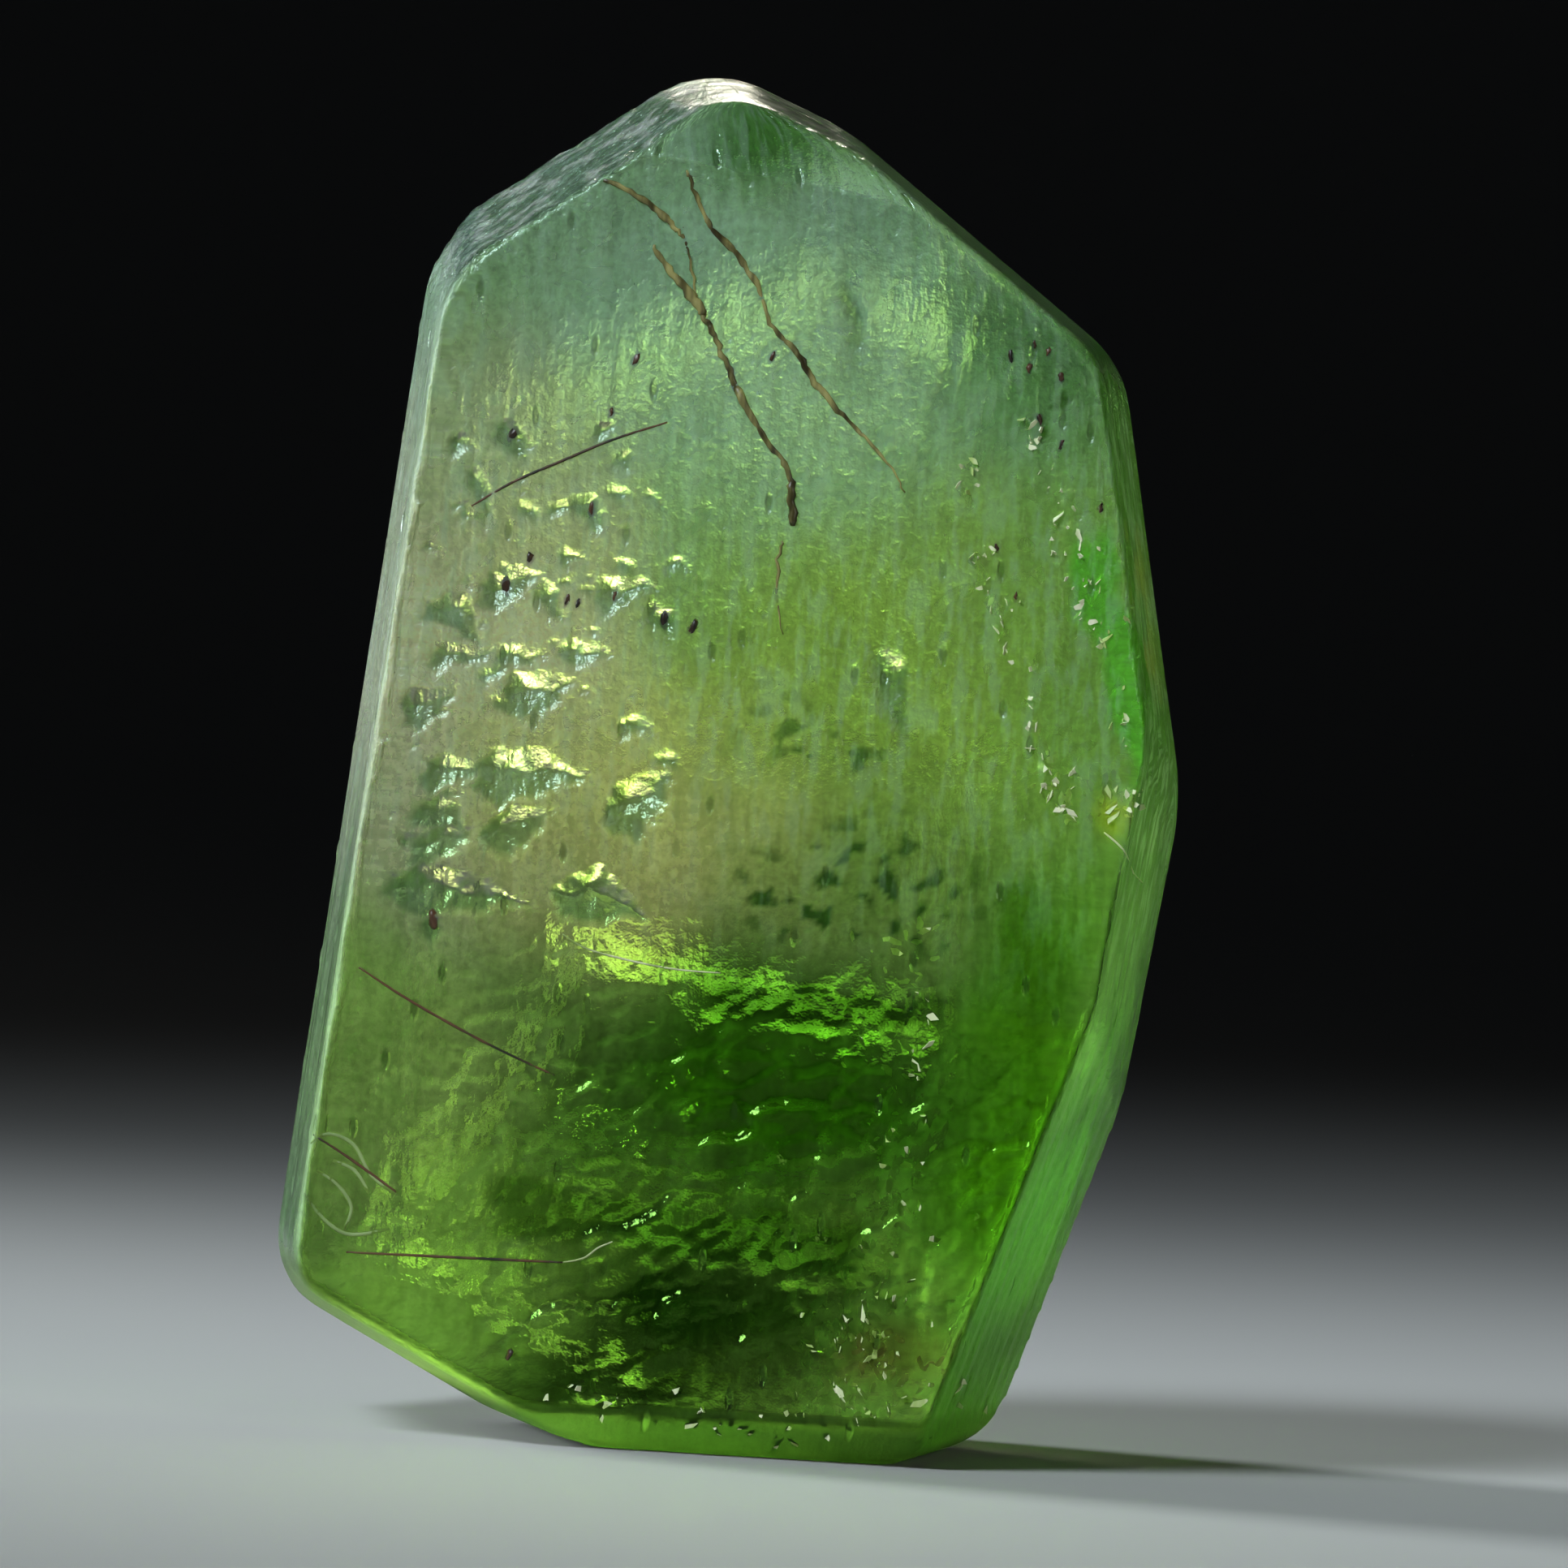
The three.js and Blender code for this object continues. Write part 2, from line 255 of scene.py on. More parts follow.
ledges = {
    "step": 0.5,  # how far each ledge cuts into the back
    "ramp": 0.9,  # how far down its wall reaches
    "shadeAbove": (-0.45, -0.1),  # where the wall's painted shade starts and ends, down from the line
    "shadeBelow": (1.5, 0.9),
    # x and z along each ledge
    "lines": [
        [(-22, 1.5), (-8.6, 7.9), (-5.1, 15.4), (-0.3, 14.2), (6.2, 13.5), (22, 12.6)],
        [(-22, 0.5), (-8.8, 4.1), (-4.6, 7.5), (4.0, 6.0), (22, 4.6)],
    ],
}

# centre and radius of each ball that bit a chip out of a corner
chips = [((14.6, -6.4, 18.2), 2.6), ((-13.0, 8.2, 7.0), 2.7), ((4.4, 7.4, 40.6), 2.8)]

# depths of the fine relief
relief = {
    "waves": 0.10,  # soft waves all over the front
    "streaks": 0.07,  # grooves along the length, in the front's upper half
    "scales": 0.38,  # overlapping scales, in its lower half
    "scaleSize": 1.4,
    "scaleTop": (19.0, 10.0),  # heights between which the scales come in
    "scaleLeft": (-9.5, -3.5, 0.35),  # from where to where they weaken leftwards, and to how much
    "scaleFoot": (1.5, 5.0, 0.4),  # and towards the foot
    "backScales": 0.10,
    "backScaleTop": 14.5,
    "backStreaks": 0.05,
    "sideSteps": 0.035,
    "frostLumps": 0.13,
}

# where parts of the skin look, and the likeness to it (1 is the same) at which a mask starts and is full
faces = {
    "leftDome": ((-0.586, -0.1, 0.81), 0.72, 0.97),
    "rightDome": ((0.596, -0.1, 0.80), 0.75, 0.97),
    "leftSide": ((-1, -0.1, 0), 0.5, 0.8),
    "rightSide": ((1, -0.1, 0), 0.5, 0.85),
    "leftEdge": ((-0.78, -0.57, 0.25), 0.85, 0.97),
    "leftFoot": ((-0.45, -0.1, -0.89), 0.35, 0.8),
    "lowRight": ((0.93, -0.2, -0.3), 0.8, 0.95),
    "glintingPitWall": ((-0.1, -0.88, -0.46), 0.93, 0.99),
}


def looking(normals, face):
    direction, low, high = faces[face]
    return smoothStep(normals @ np.array(Vector(direction).normalized()), low, high)


def scatterPits():
    # the smaller pits, thickest round the arrowheads
    rng = np.random.default_rng(smallPits["seed"])
    x0, x1, z0, z1 = smallPits["within"]
    found = []
    while len(found) < smallPits["count"]:
        x, z = rng.normal(*smallPits["across"]), rng.normal(*smallPits["up"])
        if x0 < x < x1 and z0 < z < z1:
            width = rng.uniform(*smallPits["width"])
            length = width * rng.uniform(*smallPits["longer"])
            found.append((x, z, length, width, rng.normal(*smallPits["turn"])))
    return found


def hullMesh():
    bm = bmesh.new()
    bm.from_mesh(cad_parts["crystal"].data)
    hull = bmesh.ops.convex_hull(bm, input=bm.verts, use_existing_faces=False)
    loose = [e for e in hull["geom_interior"] + hull["geom_unused"] if isinstance(e, bmesh.types.BMVert)]
    bmesh.ops.delete(bm, geom=loose, context="VERTS")
    mesh = bpy.data.meshes.new("crystalSkin")
    bm.to_mesh(mesh)
    bm.free()
    return mesh


def applyModifiers(piece):
    depsgraph = bpy.context.evaluated_depsgraph_get()
    mesh = bpy.data.meshes.new_from_object(piece.evaluated_get(depsgraph))
    piece.modifiers.clear()
    old = piece.data
    piece.data = mesh
    bpy.data.meshes.remove(old)


def refineFront(mesh, x0=-math.inf, x1=math.inf, z0=-math.inf, z1=math.inf):
    # halves the mesh size on the front, or on a part of it
    bm = bmesh.new()
    bm.from_mesh(mesh)
    chosen = set()
    for face in bm.faces:
        centre = face.calc_center_median()
        x, z = centre.x / mm - frameShift[0], centre.z / mm
        if face.normal.y < -0.85 and x0 < x < x1 and z0 < z < z1:
            chosen.update(face.edges)
    bmesh.ops.subdivide_edges(bm, edges=list(chosen), cuts=1, use_grid_fill=True)
    bm.to_mesh(mesh)
    bm.free()


def readPoints(mesh, what):
    values = np.empty(len(mesh.vertices) * 3)
    mesh.vertices.foreach_get(what, values)
    return values.reshape(-1, 3)


def fade(value, low, high, least):
    # from least at low to 1 at high
    return least + (1 - least) * float(smoothStep(value, low, high))


def shingle(x, z, size):
    # overlapping tilted scales: how far one lies under its neighbours, 0 to 1
    bend = 0.9 * noise.noise(Vector((x * 0.16, 3.0, z * 0.16)))
    spot = Vector(((x * 0.8 + z * 0.5) / size + bend, 9.0, (z * 0.9 - x * 0.35) / size + bend))
    nearest = noise.voronoi(spot)[1][0]
    away = spot - nearest
    lift = noise.cell(nearest * 7.3)
    slope = 0.5 + 0.55 * (away.x * (0.4 + 0.5 * lift) - away.z * (0.9 - 0.4 * lift))
    return min(max(slope, 0.0), 1.0)


def frontRelief(x, z):
    wave = noise.fractal(Vector((x * 0.55, 1.0, z * 0.35)), 0.9, 2.1, 3)
    streak = noise.fractal(Vector((x * 1.9 + z * 0.06, 5.0, z * 0.16)), 0.7, 2.2, 3)
    low = float(smoothStep(z + 1.5 * wave, *relief["scaleTop"]))
    size = relief["scaleSize"]
    scales = 0.58 * shingle(x, z, size) + 0.42 * shingle(x + 40, z, size * 0.5)  # large ones and small ones
    scales *= fade(x, *relief["scaleLeft"]) * fade(z, *relief["scaleFoot"])
    return (
        relief["waves"] * (0.5 + 0.5 * wave)
        + relief["streaks"] * (0.5 + 0.5 * streak) * (1 - 0.6 * low)
        + relief["scales"] * scales * low**1.5
    )


def pitDepth(x, z):
    depth = np.zeros_like(x)
    rim = np.array(pits["rim"])
    # the rims run a little unevenly
    x = x + 0.10 * np.sin(3.1 * z + 1.2 * np.sin(2.3 * x)) + 0.04 * np.sin(9.7 * z + 4 * x)
    z = z + 0.08 * np.sin(3.7 * x + 1.7 * np.sin(1.9 * z)) + 0.04 * np.sin(8.3 * x - 5 * z)
    for pitX, pitZ, length, width, turn in pits["arrows"] + scatterPits():
        cosine, sine = math.cos(math.radians(turn)), math.sin(math.radians(turn))
        along = ((x - pitX) * cosine + (z - pitZ) * sine) / (length * pits["growth"])
        across = (-(x - pitX) * sine + (z - pitZ) * cosine) / (width * pits["growth"])
        gauge = np.full_like(x, -1.0)  # 0 in the middle, 1 on the rim
        for (startX, startY), (endX, endY) in zip(rim, np.roll(rim, -1, axis=0)):
            outX, outY = endY - startY, startX - endX
            gauge = np.maximum(gauge, (along * outX + across * outY) / (startX * outX + startY * outY))
        depth = np.maximum(depth, pits["slope"] * width * np.clip(1 - gauge, 0, pits["floor"]))
    return depth


def cutLedges(x, y, z):
    # the new y, and where the ledges' walls are
    sunk = np.zeros_like(x)
    walls = np.zeros_like(x)
    for line in ledges["lines"]:
        lineX, lineZ = zip(*line)
        below = np.interp(x, lineX, lineZ) + 0.12 * np.sin(2.1 * x) - z
        sunk += ledges["step"] * smoothStep(below, 0, ledges["ramp"])
        walls += smoothStep(below, *ledges["shadeAbove"]) * smoothStep(below, *ledges["shadeBelow"])
    slant = np.sin(1.9 * x + 1.3 * z + 1.4 * np.sin(0.9 * z))
    scales = 0.5 + 0.5 * slant * np.sin(2.6 * z - 0.8 * x + np.sin(1.7 * x))
    sunk += relief["backScales"] * scales * smoothStep(relief["backScaleTop"] - z, 2, 5)
    tiltX, tiltZ = skin["backTilt"]
    backFace = skin["backDepth"] + tiltX * x + tiltZ * (z - skin["middleHeight"])
    return np.where(sunk > 0.001, np.minimum(y, backFace - sunk), y), walls


def biteChips(points):
    for centre, radius in chips:
        away = points - np.array(centre)
        far = np.linalg.norm(away, axis=1)
        inside = far < radius
        points[inside] = np.array(centre) + away[inside] * (radius / far[inside])[:, None]


def sculpt(mesh):
    points = readPoints(mesh, "co") / mm - np.array(frameShift)
    normals = readPoints(mesh, "normal")
    x, y, z = points.T.copy()
    y, walls = cutLedges(x, y, z)
    walls *= smoothStep(normals[:, 1], 0.5, 0.9)

    # pits and fine etching sink the front, soft streaks the back
    onFront = smoothStep(-normals[:, 1], 0.9, 0.98)
    etched = np.zeros(len(x))
    for i in np.nonzero(onFront > 0)[0]:
        etched[i] = frontRelief(x[i], z[i])
    hollow = pitDepth(x, z)
    y += onFront * (hollow + etched)
    onBack = smoothStep(normals[:, 1], 0.9, 0.98)
    streaks = 1 + np.sin(3.6 * x + 0.8 * np.sin(0.35 * z + x) + 2.6 * np.sin(0.9 * x + 0.1 * z))
    y -= onBack * relief["backStreaks"] * streaks
    points = np.stack([x, y, z], axis=1)
    biteChips(points)

    # growth steps on the prism faces, and a flat base
    onSide = smoothStep(np.abs(normals[:, 0]), 0.75, 0.95)
    grooves = np.sin(5.2 * points[:, 1] + 0.9 * np.sin(0.3 * z)) + 0.6 * np.sin(11.7 * points[:, 1] + 1.1)
    points -= normals * (onSide * relief["sideSteps"] * (1.6 + grooves))[:, None]
    points[:, 2] = np.where(points[:, 2] < skin["flatBase"], 0.0, points[:, 2])

    # frosted lumps on the left dome face
    frosted = looking(normals, "leftDome")
    for i in np.nonzero(frosted > 0)[0]:
        lump = noise.fractal(Vector(points[i]) * 1.1, 0.8, 2.3, 3)
        points[i] -= normals[i] * frosted[i] * relief["frostLumps"] * (0.6 + 0.6 * lump)

    mesh.vertices.foreach_set("co", ((points + np.array(frameShift)) * mm).reshape(-1))
    mesh.update()
    paint(mesh, points, normals, np.clip(onFront * hollow / 0.2, 0, 1), np.clip(etched / 0.3, 0, 1), walls)


def makeCrystal(material):
    piece = addPiece("peridotCrystal", hullMesh(), material)
    remesh = piece.modifiers.new("remesh", "REMESH")
    remesh.mode = "VOXEL"
    remesh.voxel_size = skin["voxel"] * mm
    smooth = piece.modifiers.new("smooth", "SMOOTH")
    smooth.iterations = skin["smoothing"]
    applyModifiers(piece)
    refineFront(piece.data)
    refineFront(piece.data, *skin["pitZone"])
    sculpt(piece.data)
    piece.data.polygons.foreach_set("use_smooth", [True] * len(piece.data.polygons))
    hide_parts("crystal")
    return piece


# the crystal's colours, with painted shade, sheen, reflection and glints among them, laid on the skin's
# points

body = {
    "transmission": 0.72,
    "ior": 1.67,
    "gloss": 0.3,
    "lowGloss": (0.30, 0.66, 0.10),  # the gloss is tinted green below and pale above
    "highGloss": (0.72, 0.92, 0.80),
    "absorbColour": (0.66, 0.88, 0.30),
    "absorbDensity": 100.0,
    "startTint": (0.28, 0.46, 0.10),  # where no zone reaches
    "backShadeCeiling": (0.76, 0.82, 0.42),  # painted shade: the back, which the lamp behind lights straight on, is no lighter than this
    "etchShading": (1.5, 0.55),  # painted light and shade: brightness of the tint where the etching is shallow and deep
}
# each zone's middle and reach as pixels of the photograph, its colour and its strength
zones = {
    # painted sheen: the top's green tint lightened and blued as the haze of reflected light
    "topPaintedSheen": ((900, 400), (640, 440), (0.44, 0.66, 0.52), 1.0),
    "topRight": ((1290, 430), (200, 240), (0.16, 0.33, 0.14), 0.9),
    "apexWindow": ((960, 175), (180, 100), (0.09, 0.25, 0.05), 0.95),
    # painted sheen: a pale warm haze of reflected light over the left middle
    "leftPaintedSheen": ((540, 800), (340, 520), (1.0, 0.84, 0.62), 0.9),
    "oliveGlow": ((810, 990), (290, 280), (1.0, 0.90, 0.34), 0.85),
    "greenCentre": ((1090, 850), (340, 340), (0.38, 0.54, 0.10), 0.85),
    "lowerLeft": ((470, 1290), (240, 270), (0.46, 0.64, 0.17), 0.9),
    # painted shade: these three zones stand in for the dark surroundings seen through the lower middle
    "shadedBelt": ((960, 1350), (440, 280), (0.045, 0.21, 0.002), 0.97),
    "shadedHeart": ((860, 1610), (340, 190), (0.008, 0.045, 0.001), 0.97),
    "shadedFoot": ((780, 1730), (420, 150), (0.006, 0.022, 0.001), 0.9),
    "rightGreen": ((1270, 1380), (170, 460), (0.11, 0.40, 0.003), 0.95),
    "stain": ((1110, 1670), (120, 100), (0.22, 0.15, 0.04), 0.7),
    "yellowPatch": ((1370, 975), (60, 60), (0.60, 0.70, 0.04), 0.9),
}
# bands: both ends and the width as pixels, colour, strength
bands = {
    # painted reflection: a bright emerald band of internal reflection down the right
    "emeraldPaintedReflection": ((1322, 642), (1424, 960), 80, (0.16, 0.66, 0.05), 0.95),
    "oliveEdge": ((1408, 640), (1436, 870), 50, (0.46, 0.40, 0.10), 0.9),
    "ledgeShade": ((820, 1170), (1190, 1240), 90, (0.06, 0.16, 0.01), 0.15),
    # painted shadow: a dark band under the upper ledge
    "ledgeShadow": ((860, 1215), (1170, 1245), 56, (0.012, 0.04, 0.003), 0.9),
    "lowLedgeShade": ((590, 1460), (1090, 1530), 90, (0.02, 0.08, 0.004), 0.8),
    "rightOfLedge": ((1240, 1060), (1330, 1480), 70, (0.10, 0.30, 0.01), 0.7),
}
# what lies over the zones and bands, from the lowest up: colour and strength
coats = {
    "moss": ((0.05, 0.13, 0.02), 1.0),
    # painted shade: the ledges' walls on the back made near black, for the dark band under each ledge
    "ledgeWallShade": ((0.005, 0.018, 0.001), 0.97),
    # painted shade: dark green in the bowls of the pits
    "pitBowlShade": ((0.16, 0.30, 0.13), 0.75),
    # painted glint colour: a tint on the down-facing pit walls that turns the lamp's glints through them
    # cream
    "glintingPitWall": ((0.44, 0.31, 0.46), 1.0),
    "frost": ((0.13, 0.18, 0.16), 0.8),
    # painted sparkle: white spots in the frost of the left dome
    "paintedSparkle": ((1.0, 1.0, 1.0), 1.0),
    "rightRim": ((0.26, 0.24, 0.20), 0.7),
    "leftSide": ((0.27, 0.38, 0.37), 0.6),
    "rightSide": ((0.05, 0.17, 0.01), 0.85),
    # painted shade: the lower front edge, facing down, made near black
    "lowEdgeShade": ((0.010, 0.026, 0.004), 0.85),
    # painted shade: the down-facing left foot facet darkened
    "leftFoot": ((0.08, 0.10, 0.06), 0.8),
    # painted shade: the skin below 1.7 mm made near black, fully so below 0.9 mm
    "underEdgeShade": ((0.004, 0.009, 0.002), 1.0),
    "lowRight": ((0.035, 0.10, 0.012), 0.9),
    "oliveEdge": (bands["oliveEdge"][3], 0.7),
}
# middles and reaches in pixels of the mossy spots
mossyPlaces = [
    ((1130, 1060), (170, 90)), ((1000, 1090), (120, 80)), ((1000, 900), (120, 80)), ((1290, 500), (90, 110)),
]
# how rough the skin is, and how much each part of it adds
roughness = {
    "all": 0.085,
    "speckle": 0.035,
    "upper": 0.20,
    "onTop": -0.19,
    "underEdgeShade": 0.4,
    "leftFoot": 0.4,
    "lowBack": 0.25,
    "lowRight": 0.35,
    "leftEdge": 0.4,
    "glintingPitWall": 0.02,
    "ledgeWallShade": 0.5,
    "lowEdgeShade": 0.4,
}
roughRange = (0.03, 0.65)
# how coarse its bumps are, in the same way
coarseness = {"all": 0.25, "upper": 0.5, "frost": 4.5, "rightRim": 0.6}
apexCalm = 0.9  # the share of them that the apex lacks


def noiseAt(points, scale):
    return np.array([noise.noise(Vector(p) * scale) for p in points])


def wander(points, size, reach):
    # to and fro by up to reach, so that what is painted there gets uneven edges
    noise.seed_set(7)
    return points + reach * np.array([noise.noise_vector(Vector(p) / size) for p in points])


def spotMask(points, middle, reach):
    x, z = fromPhoto(*middle)
    away = np.hypot((points[:, 0] - x) / (reach[0] * pixel), (points[:, 2] - z) / (reach[1] * pixel))
    return smoothStep(away, 1.0, 0.15)


def bandMask(points, start, end, width):
    startX, startZ = fromPhoto(*start)
    endX, endZ = fromPhoto(*end)
    half = math.hypot(endX - startX, endZ - startZ) / 2
    aimX, aimZ = (endX - startX) / (2 * half), (endZ - startZ) / (2 * half)
    x, z = points[:, 0] - startX, points[:, 2] - startZ
    along = np.abs(x * aimX + z * aimZ - half)
    across = np.abs(x * aimZ - z * aimX)
    return smoothStep(along, half, half * 0.8) * smoothStep(across, width * pixel / 2, width * pixel / 4)


def skinMasks(mesh, points, normals, hollow, walls, soft, close):
    # 0 to 1 on every point for each part of the skin, and -1 to 1 for the speckle
    y, z = points[:, 1], points[:, 2]
    outY, outZ = normals[:, 1], normals[:, 2]
    pitted = readPoints(mesh, "normal")  # the normals with the walls of the pits
    speckle = noiseAt(points, 1.9)
    mossy = sum(spotMask(soft, middle, reach) for middle, reach in mossyPlaces)
    frost = looking(normals, "leftDome")
    return {
        "all": np.ones(len(points)),
        "inFront": smoothStep(y, 3, -1),
        "upper": smoothStep(z, 13, 23),
        "onTop": smoothStep(outZ, 0.4, 0.65),
        "apex": smoothStep(outZ, 0.84, 0.92),
        "back": smoothStep(outY, 0.3, 0.6),
        "lowBack": smoothStep(outY, 0.3, 0.6) * smoothStep(z, 11, 7),
        "speckle": speckle,
        "moss": mossy * smoothStep(speckle, 0.12, 0.3),
        "ledgeWallShade": np.clip(walls, 0, 1),
        "pitBowlShade": smoothStep(hollow, 0.1, 0.6),
        "glintingPitWall": looking(pitted, "glintingPitWall") * smoothStep(hollow, 0.02, 0.12),
        "frost": frost,
        "paintedSparkle": frost * smoothStep(noiseAt(points, 1.5), 0.02, 0.18),
        "rightRim": looking(normals, "rightDome"),
        "leftSide": looking(normals, "leftSide"),
        "rightSide": looking(normals, "rightSide"),
        "leftEdge": looking(normals, "leftEdge"),
        "lowEdgeShade": smoothStep(-outZ, 0.1, 0.3) * smoothStep(-outY, 0.3, 0.6),
        "leftFoot": looking(normals, "leftFoot"),
        "underEdgeShade": smoothStep(z, 1.7, 0.9),
        "lowRight": looking(normals, "lowRight"),
        "oliveEdge": smoothStep(y, 0, -4) * bandMask(close, *bands["oliveEdge"][:3]),
    }


def paint(mesh, points, normals, hollow, scaly, walls):
    soft = wander(points, 4.0, 2.2)
    close = wander(points, 1.2, 0.5)
    masks = skinMasks(mesh, points, normals, hollow, walls, soft, close)
    tint = np.tile(np.array(body["startTint"]), (len(points), 1))

    def lay(mask, colour):
        tint[:] += (np.array(colour) - tint) * np.clip(mask, 0, 1)[:, None]

    for middle, reach, colour, strength in zones.values():
        lay(strength * spotMask(soft, middle, reach), colour)
    for start, end, width, colour, strength in bands.values():
        lay(strength * masks["inFront"] * bandMask(close, start, end, width), colour)
    for name, (colour, strength) in coats.items():
        lay(strength * masks[name], colour)
        if name == "moss":  # painted shade: the deeper the etching, the darker
            shallow, deep = body["etchShading"]
            tint *= (shallow + (deep - shallow) * scaly)[:, None]
        if name == "ledgeWallShade":
            # painted shade on the back, which the lamp behind lights straight on
            tint += masks["back"][:, None] * (np.minimum(tint, body["backShadeCeiling"]) - tint)

    rough = np.clip(sum(weight * masks[name] for name, weight in roughness.items()), *roughRange)
    coarse = sum(weight * masks[name] for name, weight in coarseness.items())
    coarse = coarse * (1 - apexCalm * masks["apex"])

    colours = np.concatenate([tint, np.ones((len(points), 1))], axis=1).astype(np.float32)
    mesh.attributes.new("tint", "FLOAT_COLOR", "POINT").data.foreach_set("color", colours.reshape(-1))

    # how far round the crystal, from the middle of the front, so that the fine patterns wrap it unstretched
    turnX = np.clip(-3 * normals[:, 1], -1, 1)
    turnY = np.clip(3 * normals[:, 0], -1, 1)
    around = (turnX * points[:, 0] + turnY * (points[:, 1] + 8)) * mm
    for name, values in (("satin", rough), ("coarse", coarse), ("upper", masks["upper"]), ("around", around)):
        mesh.attributes.new(name, "FLOAT", "POINT").data.foreach_set("value", values.astype(np.float32))


# the finest patterns; a stretch under 1 draws one out along the crystal, and leans are in degrees
pattern = {
    "strokes": {"stretch": 0.24, "lean": -5, "scale": 2300.0, "roughness": 0.62},
    "grit": {"scale": 3800.0, "roughness": 0.65},
    "dashes": {"stretch": 0.36, "lean": -8, "scale": 1150.0, "edge": (0.17, 0.07), "chosen": (0.80, 0.85)},
    "strokeHeight": 0.55,
    "gritHeight": 0.42,
    "dashDepth": 0.28,
    "bumpDistance": 0.00016,
    "bumpStrength": 0.9,
    # painted sheen: the pale bluish colour of the strokes on the upper part
    "paleStrokeSheen": (0.60, 0.80, 0.72),
    "darkDash": (0.05, 0.10, 0.03),
    "dashStrength": 0.55,
}


def finePatterns(tree):
    # strokes, grit and a few short dashes on the skin laid flat: around and up
    height = addNode(tree, "ShaderNodeSeparateXYZ")
    feed(tree, height.inputs[0], addNode(tree, "ShaderNodeTexCoord").outputs["Object"])
    place = addNode(tree, "ShaderNodeCombineXYZ")
    feed(tree, place.inputs["X"], attributeOf(tree, "around"))
    feed(tree, place.inputs["Y"], height.outputs["Z"])
    place = place.outputs[0]

    look = pattern["strokes"]
    drawn = stretched(tree, place, look["stretch"], look["lean"])
    strokes = noiseOf(tree, drawn, look["scale"], 2.0, look["roughness"])
    grit = noiseOf(tree, place, pattern["grit"]["scale"], 2.0, pattern["grit"]["roughness"])

    look = pattern["dashes"]
    cells = addNode(tree, "ShaderNodeTexVoronoi", voronoi_dimensions="2D", feature="F1")
    feed(tree, cells.inputs["Vector"], stretched(tree, place, look["stretch"], look["lean"]))
    cells.inputs["Scale"].default_value = look["scale"]
    dash = mapRange(tree, cells.outputs["Distance"], *look["edge"])
    chance = addNode(tree, "ShaderNodeSeparateColor")
    feed(tree, chance.inputs[0], cells.outputs["Color"])
    dash = calculate(tree, "MULTIPLY", dash, mapRange(tree, chance.outputs[0], *look["chosen"]))
    return strokes, grit, dash


def crystalMaterial():
    material, tree, shader, out = newMaterial("peridot")
    shader.inputs["Transmission Weight"].default_value = body["transmission"]
    shader.inputs["IOR"].default_value = body["ior"]
    shader.inputs["Specular IOR Level"].default_value = body["gloss"]
    upper = attributeOf(tree, "upper")
    gloss = mixColour(tree, upper, (*body["lowGloss"], 1), (*body["highGloss"], 1))
    feed(tree, shader.inputs["Specular Tint"], gloss)
    feed(tree, shader.inputs["Roughness"], attributeOf(tree, "satin"))

    strokes, grit, dash = finePatterns(tree)
    strokeHeight = calculate(tree, "MULTIPLY", strokes, pattern["strokeHeight"])
    gritHeight = calculate(tree, "MULTIPLY", grit, pattern["gritHeight"])
    height = calculate(tree, "ADD", strokeHeight, gritHeight)
    height = calculate(tree, "MULTIPLY", height, attributeOf(tree, "coarse"))
    height = calculate(tree, "SUBTRACT", height, calculate(tree, "MULTIPLY", dash, pattern["dashDepth"]))
    bump = addNode(tree, "ShaderNodeBump")
    bump.inputs["Distance"].default_value = pattern["bumpDistance"]
    bump.inputs["Strength"].default_value = pattern["bumpStrength"]
    feed(tree, bump.inputs["Height"], height)
    feed(tree, shader.inputs["Normal"], bump.outputs["Normal"])

    # lighter and darker strokes, pale bluish painted sheen on the strokes above, and dark dashes
    colour = brighten(tree, attributeOf(tree, "tint", "Color"), mapRange(tree, strokes, 0.3, 0.7, 0.88, 1.12))
    colour = brighten(tree, colour, mapRange(tree, grit, 0.3, 0.7, 0.85, 1.15))
    pale = calculate(tree, "MULTIPLY", mapRange(tree, strokes, 0.45, 0.68, 0.0, 0.35), upper)
    colour = mixColour(tree, pale, colour, (*pattern["paleStrokeSheen"], 1))
    dark = calculate(tree, "MULTIPLY", dash, pattern["dashStrength"])
    feed(tree, shader.inputs["Base Color"], mixColour(tree, dark, colour, (*pattern["darkDash"], 1)))

    absorb = addNode(tree, "ShaderNodeVolumeAbsorption")
    absorb.inputs["Color"].default_value = (*body["absorbColour"], 1)
    absorb.inputs["Density"].default_value = body["absorbDensity"]
    feed(tree, out.inputs["Volume"], absorb.outputs["Volume"])
    return material


# needles, threads, grains and flakes, half sunk in the skin of the front; every depth and width is in mm

needles = {
    "seed": 5,
    "depth": -0.02,
    "uneven": 0.00003,  # in m
    "widthShare": (0.6, 1.05),
    "scale": 1400.0,
    "dark": (0.034, 0.026, 0.006),
    "light": (0.38, 0.34, 0.11),
    "roughness": (0.3, 0.6),
    # pixels of the photograph with the needle's width there
    "lines": {
        "golden": [
            (745, 230, 0.10), (790, 250, 0.22), (825, 278, 0.26), (842, 297, 0.14), (852, 322, 0.10),
            (862, 372, 0.08),
        ],
        "long": [
            (808, 310, 0.14), (830, 345, 0.28), (862, 380, 0.36), (872, 400, 0.22), (885, 425, 0.22),
            (900, 462, 0.24), (916, 498, 0.26), (945, 545, 0.20), (970, 580, 0.22), (976, 612, 0.36),
            (978, 648, 0.22),
        ],
        "side": [
            (850, 220, 0.10), (862, 255, 0.16), (880, 290, 0.20), (912, 325, 0.24), (935, 362, 0.20),
            (950, 405, 0.16), (985, 445, 0.22), (1004, 478, 0.26), (1045, 522, 0.16), (1085, 565, 0.12),
            (1112, 608, 0.06),
        ],
        "faint": [(964, 668, 0.08), (958, 705, 0.12), (963, 780, 0.05)],
    },
}

